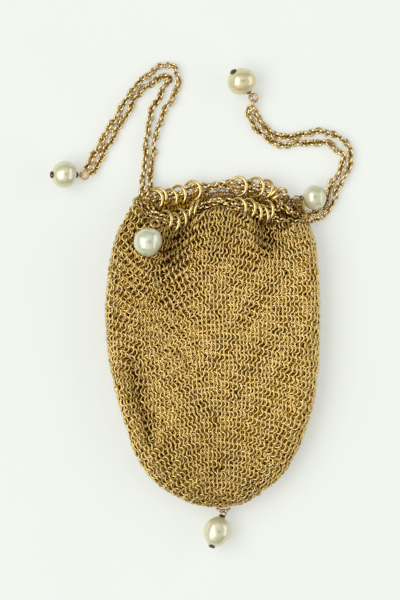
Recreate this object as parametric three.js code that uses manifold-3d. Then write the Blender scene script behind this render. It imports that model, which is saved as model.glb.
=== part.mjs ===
// Small drawstring purse of gold mail, lying flat on its back, with pearl drops.
// Millimetres, +Z up, +Y towards the mouth. The origin is on the flat underside of the pouch, near its middle.
import * as THREE from 'three';
import { mergeVertices } from 'three/addons/utils/BufferGeometryUtils.js';
import Module from 'manifold-3d';

// Driving dimensions
const WALL = 1.6;
const THICKNESS = 8.4;
const FRONT_CROWN = 0.5;
const DROOP_PLACE = 1.3;
const FOLD_FADE = 1.5;
const POUCH_LENGTH = 77.5;
const POUCH_BOTTOM = new THREE.Vector3(1, -41.1, THICKNESS / 2);
const MOUTH_RING_DIAMETER = 5.6;
const MOUTH_RING_WIRE = 0.72;
const CHAIN_DIAMETER = 1.3;
const CHAIN_LIE = CHAIN_DIAMETER / 2 + 0.05;
const STRAND_SPACING = 1.46;
const JUMP_RING_WIRE = 0.44;
const PIN_DIAMETER = 0.6;
const PIN_HEAD_DIAMETER = 1.9;
const PIN_HEAD_THICKNESS = 0.4;
const PIN_COLLAR_DIAMETER = 1.8;
const PIN_SEAT_GAP = 0.15;
const PIN_TAPER = 0.8;
const EYE_RADIUS = 0.8;
const EYE_WIRE = 0.4;
const PEARL_BORE = 1.1;

// Facets
const FRONT_STEPS = 20;
const RIM_STEPS = 8;
const BACK_STEPS = 8;
const ROWS = 20;
const ROW_CROWDING = 1.35;
const RING_SIDES = 12;
const WIRE_SIDES = 5;
const CHAIN_SIDES = 8;
const PEARL_SIDES = 14;
const PEARL_RINGS = 9;
const PIN_SIDES = 10;

// One row for each section of the pouch. up is the way from the bottom along the middle of the front,
// left and right are where the section meets the outline, and front and back are the Y of its two middles.
// The last four columns say how far the row droops beside the middle, where the mail is drawn together.
const SECTIONS = [
  { up: 0.4, left: [-1.2, -41.0], right: [3.2, -41.0], front: -40.7, back: -40.7,
    fl: 0, fr: 0, bl: 0, br: 0 },
  { up: 1.6, left: [-3.0, -40.7], right: [5.0, -40.7], front: -39.5, back: -39.5,
    fl: 0, fr: 0, bl: 0, br: 0 },
  { up: 3.2, left: [-5.1, -40.2], right: [7.1, -40.3], front: -37.9, back: -37.9,
    fl: 0, fr: 0, bl: 0, br: 0 },
  { up: 6.0, left: [-8.0, -39.2], right: [10.0, -39.3], front: -35.1, back: -35.1,
    fl: 0, fr: 0, bl: 0, br: 0 },
  { up: 10, left: [-11.8, -37.1], right: [13.6, -36.6], front: -31.1, back: -31.1,
    fl: 0, fr: 0, bl: 0, br: 0 },
  { up: 15, left: [-16.1, -33.8], right: [17.6, -33.4], front: -26.1, back: -26.1,
    fl: 0, fr: 0, bl: 0, br: 0 },
  { up: 21, left: [-20.1, -28.1], right: [21.3, -28.2], front: -20.1, back: -20.1,
    fl: 0, fr: 0, bl: 0, br: 0 },
  { up: 28, left: [-22.8, -20.6], right: [24.6, -20.6], front: -13.1, back: -13.1,
    fl: 0, fr: 0, bl: 0, br: 0 },
  { up: 36, left: [-25.5, -11.7], right: [27.0, -11.6], front: -5.1, back: -5.1,
    fl: 0.4, fr: 0.2, bl: 0, br: 0 },
  { up: 45, left: [-27.5, -1.3], right: [27.9, -1.2], front: 3.9, back: 3.9,
    fl: 1.4, fr: 0.9, bl: 0, br: 0 },
  { up: 54, left: [-28.3, 9.7], right: [28.2, 9.6], front: 12.9, back: 12.9,
    fl: 2.8, fr: 1.9, bl: 0, br: 0 },
  { up: 63, left: [-27.5, 20.6], right: [27.8, 20.0], front: 21.9, back: 22.2,
    fl: 4.2, fr: 2.8, bl: 0.2, br: 0 },
  { up: 71, left: [-25.5, 29.9], right: [27.0, 28.0], front: 29.7, back: 31.4,
    fl: 5.8, fr: 3.6, bl: 1.0, br: -0.4 },
  { up: 77.5, left: [-21.4, 38.0], right: [25.4, 32.8], front: 35.9, back: 39.5,
    fl: 7.6, fr: 4.0, bl: 3.4, br: -1.7 },
];

// Folds that run down the front from the gathered mouth. at and width are shares of the half width,
// a negative depth stands proud, and reach is how far down the fold has nearly died away.
const FOLDS = [
  { at: -0.44, width: 0.11, depth: 1.1, reach: 10 },
  { at: -0.2, width: 0.13, depth: -0.5, reach: 14 },
  { at: 0.3, width: 0.13, depth: -0.5, reach: 12 },
  { at: 0.52, width: 0.08, depth: 1.1, reach: 8 },
  { at: 0.74, width: 0.1, depth: -0.4, reach: 12 },
];

// The long crease beside the rolled left edge
const CREASE = { at: -0.75, width: 0.055, depth: 1.0, from: 20, to: 46, fade: 6 };

// Rings round the mouth. lean is the angle of the ring's axis from upright, and heading the way that it leans.
const MOUTH_RINGS = [
  { name: 'mouth_ring_back_left_1', at: [-15.2, 39.0, 3.0], lean: 31, heading: 180 },
  { name: 'mouth_ring_back_left_2', at: [-14.2, 39.6, 2.5], lean: 31, heading: 180 },
  { name: 'mouth_ring_back_left_3', at: [-11.3, 39.3, 2.6], lean: 38, heading: 182 },
  { name: 'mouth_ring_back_left_4', at: [-9.0, 40.2, 2.6], lean: 40, heading: 186 },
  { name: 'mouth_ring_back_left_5', at: [-5.3, 41.4, 2.6], lean: 32, heading: 186 },
  { name: 'mouth_ring_front_left_1', at: [-12.6, 33.6, 6.6], lean: 42, heading: 170 },
  { name: 'mouth_ring_front_left_2', at: [-10.6, 33.0, 6.7], lean: 44, heading: 167 },
  { name: 'mouth_ring_front_left_3', at: [-8.5, 34.0, 6.3], lean: 52, heading: 188 },
  { name: 'mouth_ring_front_left_4', at: [-5.4, 35.9, 5.2], lean: 78, heading: -12 },
  { name: 'mouth_ring_front_left_5', at: [-4.1, 36.4, 5.2], lean: 78, heading: -12 },
  { name: 'mouth_ring_back_right_1', at: [6.6, 42.5, 2.6], lean: 31, heading: 180 },
  { name: 'mouth_ring_back_right_2', at: [11.1, 42.3, 2.6], lean: 34, heading: 176 },
  { name: 'mouth_ring_back_right_3', at: [13.5, 41.8, 2.7], lean: 42, heading: 159 },
  { name: 'mouth_ring_back_right_4', at: [16.9, 40.2, 3.4], lean: 59, heading: -57 },
  { name: 'mouth_ring_back_right_5', at: [17.3, 38.9, 4.0], lean: 61, heading: -68 },
  { name: 'mouth_ring_front_right_1', at: [6.5, 36.9, 6.2], lean: 36, heading: 180 },
  { name: 'mouth_ring_front_right_2', at: [9.0, 36.7, 6.2], lean: 40, heading: 170 },
  { name: 'mouth_ring_front_right_3', at: [11.0, 35.6, 6.2], lean: 52, heading: 184 },
  { name: 'mouth_ring_front_right_4', at: [12.8, 35.1, 6.2], lean: 54, heading: 190 },
  { name: 'mouth_ring_front_right_5', at: [14.0, 36.2, 6.2], lean: 50, heading: 180 },
];

// Middle of the two strands that run side by side through the rings, from left to right.
// twist turns the strands about each other, so that each chain leaves on its own side.
const FRONT_RUN = [
  { at: [-12.6, 33.7, 6.6], twist: 0 },
  { at: [-10.6, 33.1, 6.7], twist: 0 },
  { at: [-8.5, 34.0, 6.3], twist: 0 },
  { at: [-6.9, 35.0, 5.7], twist: 30 },
  { at: [-5.4, 35.9, 5.2], twist: 60 },
  { at: [-4.1, 36.4, 5.2], twist: 75 },
  { at: [-1.6, 37.7, 5.2], twist: 90 },
  { at: [1.2, 38.4, 5.4], twist: 125 },
  { at: [3.9, 37.9, 6.4], twist: 165 },
  { at: [6.5, 36.9, 6.2], twist: 180 },
  { at: [9.0, 36.6, 6.2], twist: 180 },
  { at: [11.0, 35.8, 6.2], twist: 180 },
  { at: [12.8, 35.5, 6.2], twist: 180 },
  { at: [14.0, 35.9, 6.2], twist: 180 },
];
const BACK_RUN = [
  { at: [-15.4, 39.1, 3.0], twist: 0 },
  { at: [-14.2, 39.5, 2.6], twist: 0 },
  { at: [-11.3, 39.5, 2.6], twist: 0 },
  { at: [-9.0, 40.1, 2.6], twist: 0 },
  { at: [-7.2, 40.8, 2.7], twist: 0 },
  { at: [-5.3, 41.4, 2.6], twist: 0 },
  { at: [-2.6, 42.0, 2.3], twist: 40 },
  { at: [-0.5, 42.4, 2.3], twist: 80 },
  { at: [1.6, 42.7, 2.4], twist: 120 },
  { at: [3.5, 42.8, 2.7], twist: 160 },
  { at: [6.6, 42.4, 2.6], twist: 180 },
  { at: [8.8, 42.5, 2.7], twist: 180 },
  { at: [11.1, 42.3, 2.6], twist: 180 },
  { at: [13.5, 41.8, 2.7], twist: 180 },
  { at: [16.6, 40.3, 3.2], twist: 180 },
  { at: [17.3, 38.8, 3.8], twist: 180 },
];

// The chain that ends on the other side turns back inside the corner of the mouth.
const LEFT_TURN = [[-15.2, 35.4, 6.4], [-16.7, 36.7, 5.0], [-16.9, 38.1, 3.4]];
const RIGHT_TURN = [[16.8, 37.3, 4.5], [16.4, 36.6, 5.4], [15.2, 36.5, 6.0]];

// Where a chain's own two strands pass from the rings to its pull
const LEFT_EXIT = {
  front: [[-15.2, 33.9, 6.6], [-17.3, 35.0, 5.4], [-18.4, 37.2, 4.2], [-18.6, 39.8, 3.0]],
  back: [[-17.2, 40.4, 3.6]],
};
const RIGHT_EXIT = {
  front: [
    [15.8, 34.4, 6.0], [18.4, 33.5, 5.8], [21.4, 33.3, 5.2],
    [24.4, 33.8, 4.0], [27.2, 34.1, 2.2], [29.6, 35.7, 0.9],
  ],
  back: [
    [18.4, 37.4, 4.6], [19.5, 36.1, 5.2], [21.4, 35.2, 5.0],
    [23.4, 35.3, 4.2], [25.4, 35.4, 3.0], [26.8, 35.7, 1.9], [28.4, 36.9, 0.8],
  ],
};

// Pulls, from the mouth to the end ring. spread is half the way between the two strands.
const LEFT_PULL = [
  { at: [-17.4, 42.7, 2.3], spread: 0.95 },
  { at: [-17.0, 46.6, CHAIN_LIE], spread: 0.95 },
  { at: [-16.6, 51.2, CHAIN_LIE], spread: 0.95 },
  { at: [-16.1, 54.6, CHAIN_LIE], spread: 1.1 },
  { at: [-15.6, 57.7, CHAIN_LIE], spread: 1.25 },
  { at: [-14.4, 61.6, CHAIN_LIE], spread: 1.45 },
  { at: [-12.4, 65.3, CHAIN_LIE], spread: 1.65 },
  { at: [-11.1, 68.1, CHAIN_LIE], spread: 1.6 },
  { at: [-9.9, 70.2, CHAIN_LIE], spread: 1.15 },
  { at: [-10.9, 72.2, CHAIN_LIE], spread: 1.3 },
  { at: [-13.5, 72.2, CHAIN_LIE], spread: 1.6 },
  { at: [-16.4, 70.4, CHAIN_LIE], spread: 1.1 },
  { at: [-18.9, 68.4, CHAIN_LIE], spread: 1.0 },
  { at: [-21.2, 65.5, CHAIN_LIE], spread: 0.98 },
  { at: [-23.8, 60.9, CHAIN_LIE], spread: 0.98 },
  { at: [-26.2, 57.0, CHAIN_LIE], spread: 0.98 },
  { at: [-28.9, 52.3, CHAIN_LIE], spread: 0.98 },
  { at: [-31.1, 48.4, 1.0], spread: 0.95 },
  { at: [-32.0, 46.9, 1.3], spread: 0.92 },
];
const RIGHT_PULL = [
  { at: [30.2, 38.5, CHAIN_LIE], spread: 0.85 },
  { at: [31.2, 41.6, CHAIN_LIE], spread: 0.95 },
  { at: [33.0, 44.6, CHAIN_LIE], spread: 0.95 },
  { at: [34.4, 48.0, CHAIN_LIE], spread: 0.95 },
  { at: [34.9, 50.7, CHAIN_LIE], spread: 1.05 },
  { at: [33.6, 52.8, CHAIN_LIE], spread: 1.4 },
  { at: [31.4, 54.3, CHAIN_LIE], spread: 1.5 },
  { at: [29.4, 55.4, CHAIN_LIE], spread: 1.4 },
  { at: [27.0, 55.3, CHAIN_LIE], spread: 1.3 },
  { at: [24.4, 55.0, CHAIN_LIE], spread: 1.25 },
  { at: [21.4, 54.7, CHAIN_LIE], spread: 1.05 },
  { at: [17.7, 54.3, CHAIN_LIE], spread: 0.98 },
  { at: [15.4, 55.3, CHAIN_LIE], spread: 0.98 },
  { at: [13.2, 57.0, CHAIN_LIE], spread: 0.98 },
  { at: [11.4, 59.0, CHAIN_LIE], spread: 0.98 },
  { at: [10.3, 60.9, CHAIN_LIE], spread: 0.95 },
  { at: [9.9, 62.4, 1.1], spread: 0.92 },
];

// Pearl drops. toward is the way from the pearl to the eye of its pin, taper makes the eye's end fuller,
// a riveted pin goes right through, and a flat eye lies level instead of standing upright.
const DROPS = [
  { name: 'left_pull', at: [-38.7, 45.5, 3.45], toward: [0.93, 0, -0.37],
    length: 6.5, girth: 6.8, taper: 0.03, collar: 0.4, riveted: true, flatEye: false },
  { name: 'right_pull', at: [7.2, 69.7, 3.55], toward: [0.56, -0.72, -0.41],
    length: 6.8, girth: 7.0, taper: -0.05, collar: 0.4, riveted: true, flatEye: false },
  { name: 'left_mouth', at: [-17.0, 28.0, 12.5], toward: [0.32, 0.8, -0.51],
    length: 7.3, girth: 7.1, taper: 0.05, collar: 0.4, riveted: false, flatEye: false },
  { name: 'right_mouth', at: [26.4, 39.6, 3.4], toward: [-0.98, -0.08, 0],
    length: 6.1, girth: 6.7, taper: -0.02, collar: 0.8, riveted: false, flatEye: true },
  { name: 'bottom', at: [1.0, -47.1, 3.6], toward: [0.32, 0.93, -0.18],
    length: 8.0, girth: 6.9, taper: 0.09, collar: 0.4, riveted: true, flatEye: true },
];

// Jump rings. on names the drop whose eye, or the ring that, this ring runs through. off is the way
// from there to its middle, and slack how much further than its radius that is.
const JUMP_RINGS = [
  { name: 'jump_ring_left_pull', on: 'left_pull',
    radius: 1.05, off: [0.97, -0.05, 0.1], slack: 0, axis: [0, 0, 1] },
  { name: 'jump_ring_right_pull_1', on: 'right_pull',
    radius: 1.05, off: [0.61, -0.79, 0.1], slack: 0, axis: [0, 0, 1] },
  { name: 'jump_ring_right_pull_2', on: 'jump_ring_right_pull_1',
    radius: 0.9, off: [-0.1, -1, 0], slack: 0.45, axis: [1, -0.1, 0] },
  { name: 'jump_ring_left_mouth', on: 'left_mouth',
    radius: 1.1, off: [0.3, 0.8, -0.5], slack: 0, axis: [0, 0, 1] },
  { name: 'jump_ring_right_mouth', on: 'right_mouth',
    radius: 1.2, off: [-0.2, -0.95, -0.2], slack: 0, axis: [0.9, -0.2, 0.4] },
  { name: 'jump_ring_bottom_1', on: 'bottom',
    radius: 0.8, off: [-0.85, 0.5, 0], slack: 0.3, axis: [0.5, 0.85, 0] },
  { name: 'jump_ring_bottom_2', on: 'bottom',
    radius: 0.8, off: [0.85, 0.5, 0], slack: 0.3, axis: [-0.5, 0.85, 0] },
];

const gold = () => new THREE.MeshStandardMaterial({ color: 0xc8a55a, roughness: 0.32, metalness: 1 });
const nacre = () => new THREE.MeshStandardMaterial({ color: 0xe6e3c8, roughness: 0.22, metalness: 0 });
const tarnished = () => new THREE.MeshStandardMaterial({ color: 0x4a3f30, roughness: 0.5, metalness: 1 });

const purse = new THREE.Group();

function addPiece(parent, name, geometry, material) {
  const piece = new THREE.Mesh(geometry, material);
  piece.name = name;
  parent.add(piece);
  return piece;
}

// Smooth value of one column of the sections at a way up the pouch
function along(column, up) {
  const last = SECTIONS.length - 1;
  let i = 0;
  while (i < last - 1 && SECTIONS[i + 1].up < up) i += 1;
  const slope = (k) => {
    const low = SECTIONS[Math.max(k - 1, 0)];
    const high = SECTIONS[Math.min(k + 1, last)];
    return (column(high) - column(low)) / (high.up - low.up);
  };
  const span = SECTIONS[i + 1].up - SECTIONS[i].up;
  const s = (up - SECTIONS[i].up) / span;
  const rise = s * s * (3 - 2 * s);
  return column(SECTIONS[i]) * (1 - rise) + column(SECTIONS[i + 1]) * rise
    + span * s * (1 - s) * ((1 - s) * slope(i) - s * slope(i + 1));
}

// Edges and half sizes of the pouch's section. Towards the bottom it thins to a round nose.
function sectionSize(up) {
  const left = [along((s) => s.left[0], up), along((s) => s.left[1], up)];
  const right = [along((s) => s.right[0], up), along((s) => s.right[1], up)];
  const nose = Math.max(1 - (2 * up) / THICKNESS, 0);
  const halfWidth = (right[0] - left[0]) / 2;
  const halfThick = Math.min((THICKNESS / 2) * Math.sqrt(1 - nose * nose), halfWidth);
  return { left, right, halfWidth, halfThick };
}

// Place on a flat loop with round ends, by the share of the way round from its left end over the front.
// across and lift run from -1 to 1, over the width and the thickness.
function loopPlace(share, halfWidth, halfThick) {
  const flat = 2 * (halfWidth - halfThick);
  const quarter = (Math.PI * halfThick) / 2;
  const face = share < 0.5 ? 1 : -1;
  const way = (share % 0.5) * 2 * (flat + 2 * quarter);
  const straight = THREE.MathUtils.clamp(way - quarter, 0, flat);
  const angle = (way - straight) / halfThick;
  const across = (straight - flat / 2 - halfThick * Math.cos(angle)) / halfWidth;
  return { across: face * across, lift: face * Math.sin(angle) };
}

const bell = (value) => Math.exp(-value * value);
const ramp = (value) => THREE.MathUtils.smoothstep(value, 0, 1);

// How far the front is pressed in at a place, by the folds and by the crease
function frontDent(across, up) {
  let dent = 0;
  for (const fold of FOLDS) {
    const below = (POUCH_LENGTH - up) / fold.reach;
    dent += fold.depth * bell((across - fold.at) / fold.width) * bell(FOLD_FADE * below);
  }
  const ends = ramp((up - CREASE.from) / CREASE.fade) * ramp((CREASE.to - up) / CREASE.fade);
  return dent + CREASE.depth * ends * bell((across - CREASE.at) / CREASE.width);
}

// Point of the pouch's outside
function pouchPoint(share, up) {
  const { left, right, halfWidth, halfThick } = sectionSize(up);
  const { across, lift } = loopPlace(share, halfWidth, halfThick);
  const edge = THREE.MathUtils.lerp(left[1], right[1], (across + 1) / 2);
  const bow = 1 - across * across;
  const droop = Math.sin(Math.PI * Math.abs(across) ** DROOP_PLACE) ** 2;
  const side = across < 0 ? 'l' : 'r';
  const rowY = (face) => edge + bow * (along((s) => s[face], up) - (left[1] + right[1]) / 2)
    - droop * along((s) => s[face[0] + side], up);
  const x = THREE.MathUtils.lerp(left[0], right[0], (across + 1) / 2);
  const y = THREE.MathUtils.lerp(rowY('back'), rowY('front'), (lift + 1) / 2);
  const crown = FRONT_CROWN * bow * ramp(up / THICKNESS) - frontDent(across, up);
  return new THREE.Vector3(x, y, THICKNESS / 2 + lift * halfThick + ramp(lift) * crown);
}

// Outward direction of the pouch's outside
function pouchNormal(share, up) {
  const step = 1e-3;
  const low = Math.max(up - step * POUCH_LENGTH, SECTIONS[0].up);
  const high = Math.min(up + step * POUCH_LENGTH, POUCH_LENGTH);
  const round = pouchPoint((share + step) % 1, up).sub(pouchPoint((share + 1 - step) % 1, up));
  const rise = pouchPoint(share, high).sub(pouchPoint(share, low));
  return round.cross(rise).normalize();
}

// Shares of the way round at which the pouch has vertices: close together on the round edges
function roundShares(up) {
  const { halfWidth, halfThick } = sectionSize(up);
  const flat = 2 * (halfWidth - halfThick);
  const quarter = (Math.PI * halfThick) / 2;
  const whole = 2 * flat + 4 * quarter;
  const stretches = [
    { length: quarter, steps: RIM_STEPS / 2 },
    { length: flat, steps: FRONT_STEPS },
    { length: 2 * quarter, steps: RIM_STEPS },
    { length: flat, steps: BACK_STEPS },
    { length: quarter, steps: RIM_STEPS / 2 },
  ];
  const shares = [];
  let from = 0;
  for (const { length, steps } of stretches) {
    for (let i = 0; i < steps; i += 1) shares.push((from + (length * i) / steps) / whole);
    from += length;
  }
  return shares;
}

// Closed hollow pouch: the outside, the inside one wall deeper, a bottom fan on each and a rim at the mouth
function pouchGeometry() {
  const first = SECTIONS[0].up;
  const rowUps = Array.from({ length: ROWS }, (_, i) => (
    first + (POUCH_LENGTH - first) * (i / (ROWS - 1)) ** ROW_CROWDING));
  const outside = rowUps.map((up) => roundShares(up).map((share) => pouchPoint(share, up)));
  const inside = rowUps.map((up, i) => roundShares(up).map((share, j) => (
    outside[i][j].clone().addScaledVector(pouchNormal(share, up), -WALL))));
  const around = outside[0].length;
  const innerBottom = POUCH_BOTTOM.clone().setY(POUCH_BOTTOM.y + WALL);
  const points = [...outside.flat(), ...inside.flat(), POUCH_BOTTOM, innerBottom];
  const inner = ROWS * around;
  const bottom = 2 * inner;
  const triangles = [];
  const quad = (a, b, c, d) => triangles.push(a, b, c, a, c, d);
  for (let j = 0; j < around; j += 1) {
    const next = (j + 1) % around;
    triangles.push(bottom, next, j);
    triangles.push(bottom + 1, inner + j, inner + next);
    for (let i = 0; i < ROWS - 1; i += 1) {
      const low = i * around;
      const high = low + around;
      quad(low + j, low + next, high + next, high + j);
      quad(inner + low + j, inner + high + j, inner + high + next, inner + low + next);
    }
    const rim = (ROWS - 1) * around;
    quad(rim + j, rim + next, inner + rim + next, inner + rim + j);
  }
  const geometry = new THREE.BufferGeometry().setFromPoints(points);
  geometry.setIndex(triangles);
  geometry.computeVertexNormals();
  return geometry;
}

const ringGeometry = (radius, wire) => new THREE.TorusGeometry(radius, wire / 2, WIRE_SIDES, RING_SIDES);

// Turns a ring, made about its own Z, so that its axis leans towards a heading
function leanAxis({ lean, heading }) {
  const tilt = THREE.MathUtils.degToRad(lean);
  const turn = THREE.MathUtils.degToRad(heading);
  return new THREE.Vector3(Math.sin(tilt) * Math.cos(turn), Math.sin(tilt) * Math.sin(turn), Math.cos(tilt));
}

function addRing(name, at, axis, radius, wire) {
  const ring = addPiece(purse, name, ringGeometry(radius, wire), gold());
  ring.position.copy(at);
  ring.quaternion.setFromUnitVectors(new THREE.Vector3(0, 0, 1), axis.clone().normalize());
}

// A route whose steps follow its listed points, so that tight turns have more of them
class ChainRoute extends THREE.CatmullRomCurve3 {
  getUtoTmapping(u) {
    return u;
  }
}

// Level direction across a run at one of its points, to the left of the way along
function acrossRun(run, i) {
  const before = run[Math.max(i - 1, 0)].at;
  const after = run[Math.min(i + 1, run.length - 1)].at;
  return new THREE.Vector3(before[1] - after[1], after[0] - before[0], 0).normalize();
}

// One of the two strands of a run through the rings. side is 1 for the strand on the run's left at twist 0.
function runStrand(run, side) {
  return run.map(({ at, twist }, i) => {
    const turn = THREE.MathUtils.degToRad(twist);
    const offset = acrossRun(run, i).multiplyScalar(side * Math.cos(turn));
    offset.z += side * Math.sin(turn);
    return new THREE.Vector3(...at).addScaledVector(offset, STRAND_SPACING / 2);
  });
}

// One of the two strands of a pull, from the mouth outwards
function pullStrand(pull, side) {
  return pull.map(({ at, spread }, i) => (
    new THREE.Vector3(...at).addScaledVector(acrossRun(pull, i), side * spread)));
}

const vectors = (list) => list.map((point) => new THREE.Vector3(...point));

function chainGeometry(points) {
  const section = new THREE.Shape();
  for (let i = 0; i < CHAIN_SIDES; i += 1) {
    const angle = (2 * Math.PI * i) / CHAIN_SIDES;
    const corner = [(CHAIN_DIAMETER / 2) * Math.cos(angle), (CHAIN_DIAMETER / 2) * Math.sin(angle)];
    if (i === 0) section.moveTo(...corner);
    else section.lineTo(...corner);
  }
  const route = new ChainRoute(points, false, 'centripetal');
  return new THREE.ExtrudeGeometry(section, { steps: points.length - 1, extrudePath: route, curveSegments: 1 });
}

function addChains() {
  const leftChain = [
    ...pullStrand(LEFT_PULL, 1).reverse(),
    ...vectors(LEFT_EXIT.front).reverse(),
    ...runStrand(FRONT_RUN, -1),
    ...vectors(RIGHT_TURN).reverse(),
    ...runStrand(BACK_RUN, 1).reverse(),
    ...vectors(LEFT_EXIT.back),
    ...pullStrand(LEFT_PULL, -1),
  ];
  const rightChain = [
    ...pullStrand(RIGHT_PULL, -1).reverse(),
    ...vectors(RIGHT_EXIT.front).reverse(),
    ...runStrand(FRONT_RUN, 1).reverse(),
    ...vectors(LEFT_TURN),
    ...runStrand(BACK_RUN, -1),
    ...vectors(RIGHT_EXIT.back),
    ...pullStrand(RIGHT_PULL, 1),
  ];
  addPiece(purse, 'drawstring_chain_left', chainGeometry(leftChain), gold());
  addPiece(purse, 'drawstring_chain_right', chainGeometry(rightChain), gold());
}

const wasm = await Module();
wasm.setup();

function solidOf(geometry) {
  const bare = geometry.clone();
  bare.deleteAttribute('normal');
  bare.deleteAttribute('uv');
  const merged = mergeVertices(bare, 1e-4);
  return new wasm.Manifold(new wasm.Mesh({
    numProp: 3,
    vertProperties: new Float32Array(merged.attributes.position.array),
    triVerts: new Uint32Array(merged.index.array),
  }));
}

function geometryOf(solid) {
  const mesh = solid.getMesh();
  const geometry = new THREE.BufferGeometry();
  geometry.setAttribute('position', new THREE.BufferAttribute(mesh.vertProperties, 3));
  geometry.setIndex(new THREE.BufferAttribute(mesh.triVerts, 1));
  geometry.computeVertexNormals();
  return geometry;
}

// Drilled pearl about its own Y, fuller towards +Y by its taper
function pearlGeometry({ length, girth, taper, riveted }) {
  const bore = PEARL_BORE / 2;
  const top = Math.PI - Math.asin(PEARL_BORE / girth);
  const start = riveted ? Math.PI - top : 0;
  const profile = [];
  for (let i = 0; i <= PEARL_RINGS; i += 1) {
    const angle = start + ((top - start) * i) / PEARL_RINGS;
    const swell = 1 - taper * Math.cos(angle) * Math.sin(angle) ** 2;
    profile.push(new THREE.Vector2((girth / 2) * Math.sin(angle) * swell, (-length / 2) * Math.cos(angle)));
  }
  profile[PEARL_RINGS].x = bore;
  if (riveted) profile[0].x = bore;
  else profile.push(new THREE.Vector2(bore, 0), new THREE.Vector2(0, 0));
  if (riveted) profile.push(profile[0].clone());
  return new THREE.LatheGeometry(profile, PEARL_SIDES);
}

const pearlEnd = ({ length, girth }) => (length / 2) * Math.cos(Math.asin(PEARL_BORE / girth));
const eyeHeight = (drop) => pearlEnd(drop) + PIN_SEAT_GAP + drop.collar + EYE_RADIUS;

// Pin of a pearl, all in one: rivet head or blunt end below, shank, collar above and an eye
function pinGeometry(drop) {
  const seat = pearlEnd(drop) + PIN_SEAT_GAP;
  const shank = PIN_DIAMETER / 2;
  const head = PIN_HEAD_DIAMETER / 2;
  const collar = PIN_COLLAR_DIAMETER / 2;
  const foot = -seat - PIN_HEAD_THICKNESS;
  const rivet = [[0, foot], [head * PIN_TAPER, foot], [head, -seat], [shank, -seat]];
  const blunt = [[0, PIN_SEAT_GAP], [shank, PIN_SEAT_GAP]];
  const profile = [
    ...(drop.riveted ? rivet : blunt),
    [shank, seat],
    [collar, seat],
    [collar * PIN_TAPER, seat + drop.collar],
    [0, seat + drop.collar],
  ].map((point) => new THREE.Vector2(...point));
  const eye = new THREE.TorusGeometry(EYE_RADIUS, EYE_WIRE / 2, WIRE_SIDES, RING_SIDES);
  eye.translate(0, eyeHeight(drop), 0);
  return geometryOf(solidOf(new THREE.LatheGeometry(profile, PIN_SIDES)).add(solidOf(eye)));
}

// Frame of a drop: Y towards its eye, and Z along the eye's own axis
function dropTurn({ toward, flatEye }) {
  const y = new THREE.Vector3(...toward).normalize();
  const level = new THREE.Vector3(0, 0, 1).cross(y).normalize();
  const z = flatEye ? new THREE.Vector3().crossVectors(y, level) : level;
  const x = new THREE.Vector3().crossVectors(y, z);
  return new THREE.Quaternion().setFromRotationMatrix(new THREE.Matrix4().makeBasis(x, y, z));
}

function addDrops() {
  for (const drop of DROPS) {
    const hung = new THREE.Group();
    hung.position.set(...drop.at);
    hung.quaternion.copy(dropTurn(drop));
    addPiece(hung, `pearl_${drop.name}`, pearlGeometry(drop), nacre());
    addPiece(hung, `pin_${drop.name}`, pinGeometry(drop), tarnished());
    purse.add(hung);
  }
}

function eyeCentre(drop) {
  const way = new THREE.Vector3(...drop.toward).normalize();
  return new THREE.Vector3(...drop.at).addScaledVector(way, eyeHeight(drop));
}

function addJumpRings() {
  const places = new Map(DROPS.map((drop) => [drop.name, eyeCentre(drop)]));
  for (const { name, on, radius, off, slack, axis } of JUMP_RINGS) {
    const way = new THREE.Vector3(...off).normalize();
    const middle = places.get(on).clone().addScaledVector(way, radius + slack);
    places.set(name, middle);
    addRing(name, middle, new THREE.Vector3(...axis).projectOnPlane(way), radius, JUMP_RING_WIRE);
  }
}

addPiece(purse, 'mail_pouch', pouchGeometry(), gold());
for (const ring of MOUTH_RINGS) {
  const radius = (MOUTH_RING_DIAMETER - MOUTH_RING_WIRE) / 2;
  addRing(ring.name, new THREE.Vector3(...ring.at), leanAxis(ring), radius, MOUTH_RING_WIRE);
}
addChains();
addDrops();
addJumpRings();

export default purse;
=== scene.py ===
import math

import bmesh
import bpy
import numpy as np
from mathutils import Matrix, Vector, noise


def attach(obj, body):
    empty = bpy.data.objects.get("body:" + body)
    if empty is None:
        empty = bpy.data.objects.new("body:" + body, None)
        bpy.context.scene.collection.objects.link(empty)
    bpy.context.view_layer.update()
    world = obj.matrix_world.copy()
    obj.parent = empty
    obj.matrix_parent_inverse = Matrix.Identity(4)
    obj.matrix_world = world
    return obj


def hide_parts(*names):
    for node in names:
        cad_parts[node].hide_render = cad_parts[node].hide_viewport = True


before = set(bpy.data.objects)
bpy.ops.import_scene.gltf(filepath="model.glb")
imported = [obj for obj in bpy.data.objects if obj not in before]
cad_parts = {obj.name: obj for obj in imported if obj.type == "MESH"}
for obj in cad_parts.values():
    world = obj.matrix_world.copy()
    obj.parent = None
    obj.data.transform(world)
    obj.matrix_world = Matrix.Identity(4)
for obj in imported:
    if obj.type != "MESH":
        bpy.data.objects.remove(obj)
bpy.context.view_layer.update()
scene = bpy.context.scene

# The purse lies on a table and is seen from straight above, so the camera hangs over the picture's middle.
# A long lens high up keeps the view almost free of perspective.
MM = 0.001
PICTURE_HEIGHT = 156 * MM
PICTURE_MIDDLE = (-3.38 * MM, 13 * MM)
CAMERA_HEIGHT = 2.0

view_above = bpy.data.cameras.new("view_above")
view_above.lens = view_above.sensor_width * CAMERA_HEIGHT / PICTURE_HEIGHT
camera = bpy.data.objects.new("view_above", view_above)
camera.location = (*PICTURE_MIDDLE, CAMERA_HEIGHT)
scene.collection.objects.link(camera)
scene.camera = camera
scene.view_settings.view_transform = "Standard"


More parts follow.
